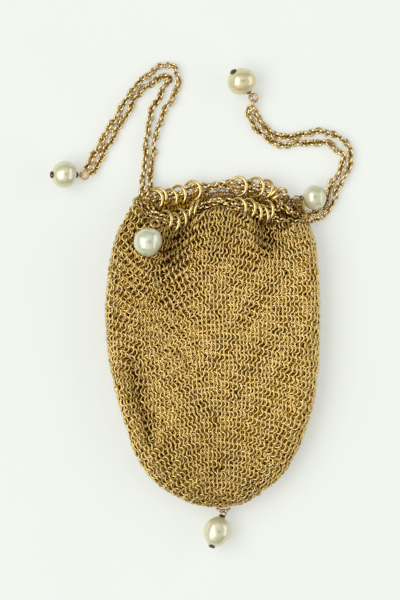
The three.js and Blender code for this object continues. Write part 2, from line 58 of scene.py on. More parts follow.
# The table is covered with smooth pale card of a faintly cloudy tone. The card glows, as if lit from below,
# so the shadows on it are faint. Under the purse it glows a dim brown instead: a painted brown glow that
# lights the gaps in the mail from below.
# The card carries the purse and isn't part of it.
class Tone:
    """A value that varies over a surface. Sums of tones add Math nodes to their material."""

    def __init__(self, tree, socket=None):
        self.tree = tree
        self.socket = socket

    def node(self, kind, settings, sockets, output=0):
        """A node's output, after its settings, and the values or tones of its sockets."""
        made = self.tree.nodes.new("ShaderNode" + kind)
        for name, setting in settings.items():
            setattr(made, name, setting)
        for name, value in sockets.items():
            if isinstance(value, Tone):
                self.tree.links.new(value.socket, made.inputs[name])
            else:
                made.inputs[name].default_value = value
        return Tone(self.tree, made.outputs[output])

    def math(self, operation, *values):
        return self.node("Math", {"operation": operation}, dict(enumerate(values)))

    def __add__(self, other):
        return self.math("ADD", self, other)

    def __sub__(self, other):
        return self.math("SUBTRACT", self, other)

    def __rsub__(self, other):
        return self.math("SUBTRACT", other, self)

    def __mul__(self, other):
        return self.math("MULTIPLY", self, other)

    def __pow__(self, power):
        return self.math("POWER", self, power)

    __radd__ = __add__
    __rmul__ = __mul__

    def spread(self, low, high):
        """This tone stretched so that low is 0 and high is 1, and held within them."""
        sockets = {"Value": self, "From Min": low, "From Max": high}
        return self.node("MapRange", {"interpolation_type": "SMOOTHSTEP"}, sockets)

    def between(self, first, second):
        """A colour from the first to the second as this tone goes from 0 to 1."""
        factor, a, b, colour = 0, 6, 7, 2
        return self.node("Mix", {"data_type": "RGBA"}, {factor: self, a: first, b: second}, colour)

    def mottle(self, size, detail=2.0):
        """Cloudy spots of about this size in metres, from 0 to 1."""
        place = self.node("TexCoord", {}, {}, "Object")
        return self.node("TexNoise", {}, {"Vector": place, "Scale": 1 / size, "Detail": detail})


def new_finish(name, fixed):
    """A material with these fixed values on its shader, and a tone to start its varying values from."""
    finish = bpy.data.materials.new(name)
    finish.use_nodes = True
    shader = finish.node_tree.nodes["Principled BSDF"]
    for socket, value in fixed.items():
        shader.inputs[socket].default_value = value
    return finish, Tone(finish.node_tree)


def vary(finish, **tones):
    """Links tones to the shader's sockets: base_color is Base Color."""
    shader = finish.node_tree.nodes["Principled BSDF"]
    for name, tone in tones.items():
        finish.node_tree.links.new(tone.socket, shader.inputs[name.replace("_", " ").title()])


def bumpy(tone, height, depth):
    """A surface direction with this height, at a depth in metres."""
    return tone.node("Bump", {}, {"Height": height, "Distance": depth, "Strength": 1.0}, "Normal")


def add_piece(name, shape, finish):
    """A new object of a bmesh, smooth all over, at the origin."""
    mesh = bpy.data.meshes.new(name)
    shape.to_mesh(mesh)
    shape.free()
    mesh.shade_smooth()
    mesh.materials.append(finish)
    piece = bpy.data.objects.new(name, mesh)
    scene.collection.objects.link(piece)
    return piece


TABLE_HALF = 1.5
CARD_PALE = (0.49, 0.505, 0.478, 1)
CARD_WARM = (0.472, 0.484, 0.454, 1)
CARD_GLOW = (0.39, 0.40, 0.38, 1)
CARD_CLOUD = 30 * MM
CARD_GRAIN = 0.4 * MM
CARD_GRAIN_DETAIL = 3.0
CARD_GRAIN_DEPTH = 0.004 * MM
CARD_ROUGH = 0.7
CARD_ROUGH_GRAIN = 0.2

# The painted brown glow under the purse has two rounded parts: their middles and half sizes in millimetres,
# and how square they are
PURSE_BROWN_GLOW = (0.22, 0.13, 0.02, 1)
MASK_EDGE = 0.9
MASK_LOW = {"at": (0.3, -1.5), "half": (26, 37.5), "square": 2}
MASK_HIGH = {"at": (1, 14), "half": (26.5, 26), "square": 4}

card, tone = new_finish("pale_card", {"Specular IOR Level": 0.2, "Emission Strength": 1.0})
grain = tone.mottle(CARD_GRAIN, CARD_GRAIN_DETAIL)


def from_mask(part):
    """The way from the middle of a part of the painted brown glow, 1 at its edge."""
    place = tone.node("TexCoord", {}, {}, "Object")
    total = 0
    for axis, at, half in zip("XY", part["at"], part["half"]):
        way = (tone.node("SeparateXYZ", {}, {"Vector": place}, axis) - at * MM) * (1 / (half * MM))
        total = total + (way * way) ** (part["square"] / 2)
    return total ** (1 / part["square"])


# Under the purse the card's emission is the painted brown glow. Elsewhere it is the pale glow that fades the
# shadows.
outside_brown_glow = tone.math("MINIMUM", from_mask(MASK_LOW), from_mask(MASK_HIGH)).spread(MASK_EDGE, 1.0)
vary(
    card,
    emission_color=outside_brown_glow.between(PURSE_BROWN_GLOW, CARD_GLOW),
    base_color=tone.mottle(CARD_CLOUD).between(CARD_PALE, CARD_WARM),
    roughness=CARD_ROUGH + CARD_ROUGH_GRAIN * grain,
    normal=bumpy(tone, grain, CARD_GRAIN_DEPTH),
)
table = bmesh.new()
bmesh.ops.create_grid(table, x_segments=1, y_segments=1, size=TABLE_HALF)
add_piece("table_card", table, card)

# A broad soft lamp stands high on the left, and a weaker one low on the right gives each pearl a second
# bright band. The room's own light is pale, but dim low down and dark overhead, and the gold and the pearls
# mirror that.
ROOM_LIGHT = (0.98, 1.0, 0.98, 1)
ROOM_STRENGTH = 1.04
BRIGHT_SIDE = (-0.25, 0.0, 0.968)
DIM_SHARE = 0.2
DIM_AT = 0.3
BRIGHT_AT = 0.9
OVERHEAD = (0.24, 0.0, 0.97)
OVERHEAD_EDGE = math.cos(math.radians(26))
OVERHEAD_CORE = math.cos(math.radians(11))
OVERHEAD_DARK = 1.0
LAMPS = [
    {"name": "lamp_left", "at": (-1.2, 0.0, 1.44), "wide": 2.6, "high": 1.4, "power": 21.0},
    {"name": "lamp_right", "at": (1.7, 0.1, 0.75), "wide": 3.0, "high": 0.9, "power": 14.0},
]

scene.world = bpy.data.worlds.new("room")
scene.world.use_nodes = True
room = scene.world.node_tree.nodes["Background"]
room.inputs["Color"].default_value = ROOM_LIGHT
tone = Tone(scene.world.node_tree)
outward = tone.node("TexCoord", {}, {}, "Generated")
overhead = tone.node("VectorMath", {"operation": "DOT_PRODUCT"}, {0: outward, 1: OVERHEAD}, "Value")
bright = tone.node("VectorMath", {"operation": "DOT_PRODUCT"}, {0: outward, 1: BRIGHT_SIDE}, "Value")
dimmed = ROOM_STRENGTH * (1 - OVERHEAD_DARK * overhead.spread(OVERHEAD_EDGE, OVERHEAD_CORE))
dimmed = dimmed * (DIM_SHARE + (1 - DIM_SHARE) * bright.spread(DIM_AT, BRIGHT_AT))
scene.world.node_tree.links.new(dimmed.socket, room.inputs["Strength"])
for lamp in LAMPS:
    light = bpy.data.lights.new(lamp["name"], "AREA")
    light.shape = "RECTANGLE"
    light.size = lamp["wide"]
    light.size_y = lamp["high"]
    light.energy = lamp["power"]
    shining = bpy.data.objects.new(lamp["name"], light)
    shining.location = lamp["at"]
    shining.rotation_euler = (-Vector(lamp["at"])).to_track_quat("-Z", "Y").to_euler()
    scene.collection.objects.link(shining)

# The pouch is one bag of fine gold mail. Each ring of wire is linked through two rings of the row above it
# and two of the row below, and the rows lean to the right and to the left by turns.
# All sizes here are in millimetres, and go into metres as the rings are made.
THICKNESS = 8.4
FRONT_CROWN = 0.5
DROOP_PLACE = 1.3
FOLD_FADE = 1.5
POUCH_LENGTH = 77.5
POUCH_BOTTOM = np.array((1, -41.1, THICKNESS / 2))
RIM_SAG = 0.35

# Sections of the pouch from its bottom to its mouth: where each meets the outline on the left and right,
# the Y of its front and back middles, and how far the front's and back's rows droop left and right of those.
SECTION_COLUMNS = ("up", "left_x", "left_y", "right_x", "right_y", "front", "back", "fl", "fr", "bl", "br")
SECTIONS = [
    (0.4, -1.2, -41.0, 3.2, -41.0, -40.7, -40.7, 0, 0, 0, 0),
    (1.6, -3.0, -40.7, 5.0, -40.7, -39.5, -39.5, 0, 0, 0, 0),
    (3.2, -5.1, -40.2, 7.1, -40.3, -37.9, -37.9, 0, 0, 0, 0),
    (6.0, -8.0, -39.2, 10.0, -39.3, -35.1, -35.1, 0, 0, 0, 0),
    (10, -11.8, -37.1, 13.6, -36.6, -31.1, -31.1, 0, 0, 0, 0),
    (15, -16.1, -33.8, 17.6, -33.4, -26.1, -26.1, 0, 0, 0, 0),
    (21, -20.1, -28.1, 21.3, -28.2, -20.1, -20.1, 0.3, 0, 0, 0),
    (28, -22.8, -20.6, 24.6, -20.6, -13.1, -13.1, 1.1, 0, 0, 0),
    (36, -25.5, -11.7, 27.0, -11.6, -5.1, -5.1, 2.5, 0.2, 0, 0),
    (45, -27.5, -1.3, 27.9, -1.2, 3.9, 3.9, 4.4, 0.9, 0, 0),
    (54, -28.3, 9.7, 28.2, 9.6, 12.9, 12.9, 6.2, 1.9, 0, 0),
    (63, -27.5, 20.6, 27.8, 20.0, 21.9, 22.2, 7.4, 2.8, 0.2, 0),
    (71, -25.5, 29.9, 27.0, 28.0, 29.7, 31.4, 7.8, 3.6, 1.0, -0.4),
    (77.5, -21.4, 38.0, 25.4, 32.8, 35.9, 39.5, 7.6, 4.0, 3.4, -1.7),
]
SECTION = dict(zip(SECTION_COLUMNS, np.array(SECTIONS).T))
FIRST_UP = SECTION["up"][0]

# Folds that run down the front from the gathered mouth, and the long crease beside the rolled left edge
FOLDS = [
    {"at": -0.44, "width": 0.11, "depth": 1.9, "reach": 10},
    {"at": -0.2, "width": 0.13, "depth": -0.5, "reach": 14},
    {"at": 0.3, "width": 0.13, "depth": -0.5, "reach": 12},
    {"at": 0.5, "width": 0.1, "depth": 2.4, "reach": 9},
    {"at": 0.74, "width": 0.1, "depth": -0.4, "reach": 12},
]
CREASE = {"at": -0.775, "width": 0.06, "depth": 0.9, "from": 20, "to": 46, "fade": 6}


def smooth_through(knots, values, at):
    """Smooth values between those at the knots, with the slope at each from its two neighbours."""
    beyond = np.pad(knots, 1, mode="edge")
    outside = np.pad(values, 1, mode="edge")
    slopes = (outside[2:] - outside[:-2]) / (beyond[2:] - beyond[:-2])
    i = np.clip(np.searchsorted(knots, at) - 1, 0, len(knots) - 2)
    span = knots[i + 1] - knots[i]
    s = (at - knots[i]) / span
    rise = s * s * (3 - 2 * s)
    bend = span * s * (1 - s) * ((1 - s) * slopes[i] - s * slopes[i + 1])
    return values[i] * (1 - rise) + values[i + 1] * rise + bend


def along(column, up):
    return smooth_through(SECTION["up"], SECTION[column], up)


def bell(value):
    return np.exp(-value * value)


def ramp(value):
    held = np.clip(value, 0, 1)
    return held * held * (3 - 2 * held)


def section_half(up):
    """Half the width and half the thickness of the pouch. Towards the bottom it thins to a round nose."""
    half_width = (along("right_x", up) - along("left_x", up)) / 2
    nose = np.maximum(1 - 2 * up / THICKNESS, 0)
    return half_width, np.minimum(THICKNESS / 2 * np.sqrt(1 - nose * nose), half_width)


def girth(up):
    """The way round the pouch."""
    half_width, half_thick = section_half(np.clip(up, FIRST_UP, POUCH_LENGTH))
    return (4 * (half_width - half_thick) + 2 * math.pi * half_thick) * np.minimum(up / FIRST_UP, 1)


def front_dent(across, up):
    """How far the front is pressed in, by the folds and by the crease."""
    dent = np.zeros(across.shape)
    for fold in FOLDS:
        below = (POUCH_LENGTH - up) / fold["reach"]
        dent += fold["depth"] * bell((across - fold["at"]) / fold["width"]) * bell(FOLD_FADE * below)
    ends = ramp((up - CREASE["from"]) / CREASE["fade"]) * ramp((CREASE["to"] - up) / CREASE["fade"])
    return dent + CREASE["depth"] * ends * bell((across - CREASE["at"]) / CREASE["width"])


def wall_point(share, up):
    """Places on the pouch's outside, by the share of the way round from its left edge over the front."""
    half_width, half_thick = section_half(up)
    flat = 2 * (half_width - half_thick)
    quarter = math.pi * half_thick / 2
    face = np.where(share % 1 < 0.5, 1, -1)
    way = share % 0.5 * 2 * (flat + 2 * quarter)
    straight = np.clip(way - quarter, 0, flat)
    angle = (way - straight) / half_thick
    across = face * (straight - flat / 2 - half_thick * np.cos(angle)) / half_width
    lift = face * np.sin(angle)
    left_y, right_y = along("left_y", up), along("right_y", up)
    bow = 1 - across * across
    droop = np.sin(math.pi * np.abs(across) ** DROOP_PLACE) ** 2

    def row_y(middle, left_droop, right_droop):
        edge = left_y + (right_y - left_y) * (across + 1) / 2
        fall = np.where(across < 0, along(left_droop, up), along(right_droop, up))
        return edge + bow * (along(middle, up) - (left_y + right_y) / 2) - droop * fall

    x = along("left_x", up) + half_width * (across + 1)
    back, front = row_y("back", "bl", "br"), row_y("front", "fl", "fr")
    y = back + (front - back) * (lift + 1) / 2
    crown = FRONT_CROWN * bow * ramp(up / THICKNESS) - front_dent(across, up)
    return np.stack((x, y, THICKNESS / 2 + lift * half_thick + ramp(lift) * crown), axis=-1)


def unit(vectors):
    return vectors / np.linalg.norm(vectors, axis=-1, keepdims=True)


STEP = 1e-3


def pouch_point(share, up):
    """Places on the whole bag: its wall, the closed bottom below it and the loose top rows above it."""
    wall = wall_point(share, np.clip(up, FIRST_UP, POUCH_LENGTH))
    closed = POUCH_BOTTOM + (wall - POUCH_BOTTOM) * np.minimum(up / FIRST_UP, 1)[..., None]
    below = wall_point(share, np.full(up.shape, POUCH_LENGTH - STEP * POUCH_LENGTH))
    rim = wall_point(share, np.full(up.shape, POUCH_LENGTH))
    above = np.maximum(up - POUCH_LENGTH, 0)[..., None]
    fall = RIM_SAG * (THICKNESS / 2 - rim[..., 2]) / THICKNESS * 2
    return closed + above * (unit(rim - below) + fall[..., None] * np.array((0, 0, 1)))


ROW_PITCH = 1.4
COLUMN_PITCH = 1.05
MAIL_RADIUS = 0.97
MAIL_WIRE = 0.5
MAIL_LEAN_PITCH = 1.2
MAIL_INSET = 0.95
RIM_INSET = 1.55
RIM_LEAN = math.radians(76)
RIM_REACH = 1.2
RIM_DRAW = 0.85
WIDEST_UP = 54
EDGE_FIT = 6
FRONT_MIDDLE = 0.25
BACK_MIDDLE = 0.75
LOOSE_ROWS = 4
MAIL_BANDS = 5
SEED = 7
chance = np.random.default_rng(SEED)

# The line that the top of the mail rises to under the chains, on the front and on the back
MOUTH_LINES = {
    "front": [(-18.5, 35.5), (-15.2, 32.6), (-13, 32.2), (-9.3, 32.4), (-5, 34.6), (1, 36.8),
              (5, 36.0), (10.4, 34.2), (13.5, 34.2), (16, 33.4), (20, 32.2), (24, 32.4)],
    "back": [(-18, 39), (-15.5, 37.8), (-9.6, 38.7), (-3, 40.6), (2, 41.2), (9, 41),
             (13.4, 40.3), (17, 39.2), (20, 38.8), (22, 38.2), (24, 36.4), (25, 34)],
}

# Slow waves that use has left in the rows and columns: how far they go, and their length across and up
MAIL_WAVES = [
    {"far": 0.3, "across": 19, "up": 26, "turn": 0.4},
    {"far": 0.2, "across": -9, "up": 14, "turn": 2.1},
    {"far": 0.14, "across": 6, "up": 7, "turn": 4.0},
]

COLUMN_WAVE = 0.4

# Rows are evenly spaced by the middle of the front and both edges taken together, so they crowd in the round
# bottom.
LEFT_EDGE = 0.0
RIGHT_EDGE = 0.5
ROW_WEIGHTS = {FRONT_MIDDLE: 0.4, LEFT_EDGE: 0.3, RIGHT_EDGE: 0.3}
CLIMB_STEPS = 4000
climb_ups = np.linspace(0, POUCH_LENGTH, CLIMB_STEPS)
climb = np.zeros(climb_ups.shape)
for share, weight in ROW_WEIGHTS.items():
    climb_points = pouch_point(np.full(climb_ups.shape, share), climb_ups)
    climb[1:] += weight * np.cumsum(np.linalg.norm(np.diff(climb_points, axis=0), axis=1))
row_count = round(climb[-1] / ROW_PITCH)
row_ups = np.interp((np.arange(row_count) + 0.5) * climb[-1] / row_count, climb, climb_ups)
row_ups = np.concatenate((row_ups, row_ups[-1] + ROW_PITCH * np.arange(1, LOOSE_ROWS + 1)))


def half_way(up):
    """The flat and the round part of the way from the middle of a face to the pouch's edge."""
    half_width, half_thick = section_half(np.clip(up, FIRST_UP, POUCH_LENGTH))
    closing = min(up / FIRST_UP, 1)
    return (half_width - half_thick) * closing, math.pi / 2 * half_thick * closing


def row_shares(up, odd):
    """Places of a row's rings, and the way from each to the next, as shares of the way round the pouch.

    Columns run straight down from the middle of each face, and only the rings by the edges are moved to fit.
    On the rolled edges they are drawn apart. The back's rings lie below the gaps between the front's."""
    flat, rim = half_way(up)
    reach = flat + RIM_DRAW * rim
    widest = half_way(WIDEST_UP)
    pitch = COLUMN_PITCH
    if up > WIDEST_UP:
        pitch *= reach / (widest[0] + RIM_DRAW * widest[1])
    rings = max(round(reach / pitch), 1)
    fitted = min(EDGE_FIT, rings)
    whole = np.arange(-rings, rings + 1)
    between = np.arange(-rings, rings) + 0.5
    front_steps, back_steps = (whole, between) if odd else (between, whole)
    shares = []
    pitches = []
    for middle, steps in ((FRONT_MIDDLE, front_steps), (BACK_MIDDLE, back_steps)):
        far = np.abs(steps)
        drawn = far * pitch + (reach - rings * pitch) * ramp((far - rings + fitted) / fitted)
        way = np.sign(steps) * np.interp(drawn, (0, flat, reach), (0, flat, flat + rim))
        shares.append(middle + way / (4 * (flat + rim)))
        pitches.append(np.gradient(shares[-1]))
    return np.concatenate(shares), np.concatenate(pitches)


rows = [row_shares(up, row % 2) for row, up in enumerate(row_ups)]
row_of = np.repeat(np.arange(len(rows)), [len(shares) for shares, _ in rows])
odd_row = row_of % 2
mail_share = np.concatenate([shares for shares, _ in rows])
share_pitch = np.concatenate([pitches for _, pitches in rows])
mail_up = row_ups[row_of]
flat_x = pouch_point(mail_share, mail_up)[:, 0]
for wave in MAIL_WAVES:
    phase = 2 * math.pi * (flat_x / wave["across"] + row_ups[row_of] / wave["up"]) + wave["turn"]
    far = wave["far"] * ramp(row_ups[row_of] / THICKNESS)
    mail_up = mail_up + far * np.sin(phase)
    mail_share = mail_share + COLUMN_WAVE * far * np.cos(phase + wave["turn"]) / girth(row_ups[row_of])

# Where each ring sits: rise and around run along the mail, and out away from the purse's inside
climb_step = np.minimum(STEP * POUCH_LENGTH, mail_up / 2)
rise = unit(pouch_point(mail_share, mail_up + climb_step) - pouch_point(mail_share, mail_up - climb_step))
ahead = pouch_point(mail_share + STEP, mail_up) - pouch_point(mail_share - STEP, mail_up)
out = unit(np.cross(ahead, rise))
around = np.cross(rise, out)
edge_way = np.abs((mail_share + FRONT_MIDDLE) % RIGHT_EDGE - FRONT_MIDDLE) * girth(mail_up)
in_rim = bell(edge_way / RIM_REACH) * ramp(mail_up / THICKNESS)
inset = MAIL_INSET + (RIM_INSET - MAIL_INSET) * in_rim
mail_middles = pouch_point(mail_share, mail_up) - inset[:, None] * out

# The back is puckered up below the opening of the mouth
PUCKER = {"y": 36.5, "wide": 3.0, "high": 2.4}
behind = mail_share % 1 > RIGHT_EDGE
puckered = bell((mail_middles[:, 1] - PUCKER["y"]) / PUCKER["wide"])
mail_middles[:, 2] += PUCKER["high"] * behind * (1 - in_rim) * puckered

# Crowded rings lean further out of the mail, those in the rolled edges most of all, and no two lie alike.
# On the left the rows have slipped, so that one row lies flat and the next stands up.
SLIPPED = {"at": (-17, 10), "reach": 11, "turn": math.radians(14)}
STEEPEST = 0.45
FLATTEST = 0.93
UNEVEN = {"lean": math.radians(8), "swing": math.radians(10), "place": 0.07}
square_ahead = ahead - rise * np.sum(ahead * rise, axis=1, keepdims=True)
ring_pitch = np.linalg.norm(square_ahead, axis=1) / (2 * STEP) * share_pitch
lean = np.arccos(np.clip(ring_pitch / MAIL_LEAN_PITCH, STEEPEST, FLATTEST))
lean += (RIM_LEAN - lean) * in_rim
slip_far = np.linalg.norm(mail_middles[:, :2] - SLIPPED["at"], axis=1)
lean += SLIPPED["turn"] * (2 * odd_row - 1) * bell(slip_far / SLIPPED["reach"])
lean += chance.normal(0, UNEVEN["lean"], lean.shape)
swing = chance.normal(0, UNEVEN["swing"], lean.shape)
mail_middles += chance.normal(0, UNEVEN["place"], mail_middles.shape)
leaning = np.cos(lean)[:, None] * around + (np.sin(lean) * (1 - 2 * odd_row))[:, None] * out
first_axis = np.cos(swing)[:, None] * rise + np.sin(swing)[:, None] * around
leaning = unit(leaning - first_axis * np.sum(leaning * first_axis, axis=1, keepdims=True))

# Painted shade darkens the mail in the folds and in the crease, as far as they press it in. The mail is
# also darker and duller round the gathered mouth and in a few wide parts.
CREASE_SHADE_WIDE = 0.05
MOUTH_DARKENING = 0.28
MOUTH_DARKENING_REACH = 9
DULL_PARTS = [
    {"at": (-20, 24), "reach": 15, "much": 0.3},
    {"at": (-25, 2), "reach": 14, "much": 0.3},
    {"at": (1, -36), "reach": 19, "much": 0.6},
    {"at": (4, 30), "reach": 12, "much": 0.3},
    {"at": (22.5, 37), "reach": 5, "much": 0.65},
]
held_up = np.clip(mail_up, FIRST_UP, POUCH_LENGTH)
across = (mail_middles[:, 0] - along("left_x", held_up)) / section_half(held_up)[0] - 1
pressed = np.maximum(front_dent(across - CREASE_SHADE_WIDE, held_up), front_dent(across + CREASE_SHADE_WIDE, held_up))
shade_and_dark_patches = np.where(mail_share < RIGHT_EDGE, np.clip(pressed, 0, 1), 0)
shade_and_dark_patches += MOUTH_DARKENING * bell((POUCH_LENGTH - held_up) / MOUTH_DARKENING_REACH)
for dull in DULL_PARTS:
    far = np.linalg.norm(mail_middles[:, :2] - dull["at"], axis=1)
    shade_and_dark_patches += dull["much"] * bell(far / dull["reach"])

RING_STEPS = 12
WIRE_SIDES = 5
TABLE_GAP = 0.02


def ring_points(middles, first, second, radius, wire):
    """Points of closed rings of wire, by ring, step round the ring and side of the wire."""
    turn = np.linspace(0, 2 * math.pi, RING_STEPS, endpoint=False)[None, :, None]
    roll = np.linspace(0, 2 * math.pi, WIRE_SIDES, endpoint=False)[None, None, :, None]
    spokes = np.cos(turn) * first[:, None] + np.sin(turn) * second[:, None]
    axes = np.cross(first, second)[:, None, None]
    reach = radius + wire / 2 * np.cos(roll)
    return middles[:, None, None] + reach * spokes[:, :, None] + wire / 2 * np.sin(roll) * axes


def on_table(points):
    """The same rings, with those that go below the table's top lifted onto it."""
    lowest = points[..., 2].min(axis=(1, 2), keepdims=True)
    return points + np.maximum(TABLE_GAP - lowest, 0)[..., None] * np.array((0, 0, 1))


def add_rings(name, points, shades, finish):
    """One piece of many small rings, with a named shade for each of their points."""
    corner = np.arange(points.size // 3).reshape(points.shape[:3])
    beside = np.roll(corner, -1, axis=1)
    quads = np.stack((corner, beside, np.roll(beside, -1, axis=2), np.roll(corner, -1, axis=2)), axis=-1)
    mesh = bpy.data.meshes.new(name)
    mesh.vertices.add(corner.size)
    mesh.vertices.foreach_set("co", (points * MM).ravel())
    mesh.loops.add(quads.size)
    mesh.loops.foreach_set("vertex_index", quads.ravel())
    mesh.polygons.add(corner.size)
    mesh.polygons.foreach_set("loop_start", np.arange(0, quads.size, 4))
    mesh.update(calc_edges=True)
    mesh.shade_smooth()
    for shade, values in shades.items():
        mesh.attributes.new(shade, "FLOAT", "POINT").data.foreach_set("value", values.ravel())
    mesh.materials.append(finish)
    piece = bpy.data.objects.new(name, mesh)
    scene.collection.objects.link(piece)
    return piece


# Worn gold: bright where a wire stands proud, brown with old tarnish in the hollows
GOLD_BRIGHT = (0.79, 0.58, 0.20, 1)
GOLD_RED = (0.70, 0.48, 0.13, 1)
GOLD_DULL = (0.60, 0.37, 0.045, 1)
TARNISH = (0.56, 0.31, 0.02, 1)
# The brown of the painted shade in the folds and crease, and of the darker parts of the mail
SHADE_AND_PATCH_BROWN = (0.22, 0.115, 0.035, 1)
PATCH_SIZE = 9 * MM
PATCH_DETAIL = 3.0
PATCH_WEAR = 0.25
RING_TINT = 0.6
PATCH_TINT = 0.8
PATCH_RED = 0.25
TARNISH_END = 0.5
GOLD_START = 0.35
# How much less of the painted shade and darkening lies on proud wire
PROUD_SPARED = 0.6
TARNISH_ROUGH = 0.2
SCRATCH_ROUGH = 0.1
SCRATCH_SIZE = 0.15 * MM
SCRATCH_DEPTH = 0.006 * MM


def worn_gold(name, tarnish, hollow, proud_at, rough, film):
    """Gold that is tarnished below the shade hollow, and clean under a film above the shade proud_at."""
    finish, tone = new_finish(name, {"Metallic": 1.0, "Coat IOR": film, "Coat Roughness": 0.1})
    proud = tone.node("Attribute", {"attribute_name": "proud"}, {}, "Fac")
    ring = tone.node("Attribute", {"attribute_name": "ring_tone"}, {}, "Fac")
    shade_and_dark_patches = tone.node("Attribute", {"attribute_name": "shade_and_dark_patches"}, {}, "Fac")
    patch = tone.mottle(PATCH_SIZE, PATCH_DETAIL)
    clean = (proud + PATCH_WEAR * (patch - 0.5)).spread(hollow, proud_at)
    gold = (RING_TINT * ring + PATCH_TINT * (patch - PATCH_RED)).between(GOLD_RED, GOLD_BRIGHT)
    dull = clean.spread(0.0, TARNISH_END).between(tarnish, GOLD_DULL)
    scratch = tone.mottle(SCRATCH_SIZE)
    worn = clean.spread(GOLD_START, 1.0).between(dull, gold)
    vary(
        finish,
        # Painted shade in the folds and crease, and the darker parts, turn the base colour towards a brown
        # and take off the coat.
        base_color=(shade_and_dark_patches * (1.0 - PROUD_SPARED * clean)).between(worn, SHADE_AND_PATCH_BROWN),
        roughness=rough + TARNISH_ROUGH * (1 - clean) + SCRATCH_ROUGH * scratch,
        coat_weight=clean ** 2 * (1 - shade_and_dark_patches),
        normal=bumpy(tone, scratch, SCRATCH_DEPTH),
    )
    return finish


mail_gold = worn_gold("worn_mail_gold", TARNISH, hollow=-0.9, proud_at=0.9, rough=0.18, film=1.65)
mouth_y = np.where(
    mail_share < RIGHT_EDGE,
    np.interp(mail_middles[:, 0], *np.array(MOUTH_LINES["front"]).T),
    np.interp(mail_middles[:, 0], *np.array(MOUTH_LINES["back"]).T),
)
kept = (mail_up < POUCH_LENGTH) | (mail_middles[:, 1] < mouth_y)
mail_points = on_table(ring_points(mail_middles, first_axis, leaning, MAIL_RADIUS, MAIL_WIRE))
from_middle = mail_points - mail_middles[:, None, None]
mail_depth = MAIL_RADIUS * np.sin(lean) + MAIL_WIRE / 2
mail_proud = np.sum(from_middle * out[:, None, None], axis=-1) / mail_depth[:, None, None]
ring_tone = chance.random(len(mail_middles))
band_of = row_of * MAIL_BANDS // len(row_ups)
for band in range(MAIL_BANDS):
    chosen = kept & (band_of == band)
    shape = mail_points[chosen].shape[:3]
    shades = {
        "proud": mail_proud[chosen],
        "ring_tone": np.broadcast_to(ring_tone[chosen][:, None, None], shape),
        # Painted shade in the folds and crease, and the darker parts
        "shade_and_dark_patches": np.broadcast_to(shade_and_dark_patches[chosen][:, None, None], shape),
    }
    mail = add_rings(f"mail_rows_{band + 1}", mail_points[chosen], shades, mail_gold)
    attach(mail, "root")
    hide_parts("mail_pouch")

# Twenty large plain rings of round gold wire are linked through the top row of the mail, and the chains run
# through them. They lean over each other in the four groups that the gathered mouth makes.
MOUTH_RING_RADIUS = 2.45
MOUTH_RING_WIRE = 0.8
MOUTH_RING_STEPS = 40
MOUTH_RING_SIDES = 12
MOUTH_RINGS = [
    {"name": "back_left_1", "at": (-15.2, 39.0, 3.0), "lean": 31, "heading": 180},
    {"name": "back_left_2", "at": (-14.2, 39.6, 2.5), "lean": 31, "heading": 180},
    {"name": "back_left_3", "at": (-11.3, 39.3, 2.6), "lean": 38, "heading": 182},
    {"name": "back_left_4", "at": (-9.0, 40.2, 2.6), "lean": 40, "heading": 186},
    {"name": "back_left_5", "at": (-5.3, 41.4, 2.6), "lean": 32, "heading": 186},
    {"name": "front_left_1", "at": (-12.6, 33.6, 6.6), "lean": 42, "heading": 170},
    {"name": "front_left_2", "at": (-10.6, 33.0, 6.7), "lean": 44, "heading": 167},
    {"name": "front_left_3", "at": (-8.5, 34.0, 6.3), "lean": 52, "heading": 188},
    {"name": "front_left_4", "at": (-5.4, 35.9, 5.2), "lean": 78, "heading": -12},
    {"name": "front_left_5", "at": (-4.1, 36.4, 5.2), "lean": 78, "heading": -12},
    {"name": "back_right_1", "at": (6.6, 42.5, 2.6), "lean": 31, "heading": 180},
    {"name": "back_right_2", "at": (11.1, 42.3, 2.6), "lean": 34, "heading": 176},
    {"name": "back_right_3", "at": (13.5, 41.8, 2.7), "lean": 42, "heading": 159},
    {"name": "back_right_4", "at": (16.9, 40.2, 3.4), "lean": 59, "heading": -57},
    {"name": "back_right_5", "at": (17.3, 38.9, 4.0), "lean": 61, "heading": -68},
    {"name": "front_right_1", "at": (6.5, 36.9, 6.2), "lean": 36, "heading": 180},
    {"name": "front_right_2", "at": (9.0, 36.7, 6.2), "lean": 40, "heading": 170},
    {"name": "front_right_3", "at": (11.0, 35.6, 6.2), "lean": 52, "heading": 184},
    {"name": "front_right_4", "at": (12.8, 35.1, 6.2), "lean": 54, "heading": 190},
    {"name": "front_right_5", "at": (14.0, 36.2, 6.2), "lean": 50, "heading": 180},
]


def spun_ring(shape, radius, wire, steps, sides):
    """Adds a ring of round wire about the Z axis to a bmesh, and gives its vertices."""
    section = bmesh.ops.create_circle(shape, segments=sides, radius=wire / 2)["verts"]
    bmesh.ops.rotate(shape, verts=section, matrix=Matrix.Rotation(math.pi / 2, 3, "X"))
    bmesh.ops.translate(shape, verts=section, vec=(radius, 0, 0))
    before = set(shape.verts) - set(section)
    edges = {edge for vertex in section for edge in vertex.link_edges}
    bmesh.ops.spin(
        shape, geom=[*section, *edges], axis=(0, 0, 1), angle=2 * math.pi, steps=steps, use_merge=True
    )
    made = [vertex for vertex in shape.verts if vertex not in before]
    bmesh.ops.recalc_face_normals(shape, faces=list({face for vertex in made for face in vertex.link_faces}))
    return made


def lean_axis(lean, heading):
    tilt, turn = math.radians(lean), math.radians(heading)
    return Vector((math.sin(tilt) * math.cos(turn), math.sin(tilt) * math.sin(turn), math.cos(tilt)))


def placed(at, axis):
    """The place of a ring, from about the Z axis to about this axis at a place in millimetres."""
    turn = Vector((0, 0, 1)).rotation_difference(axis).to_matrix().to_4x4()
    return Matrix.Scale(MM, 4) @ Matrix.Translation(at) @ turn


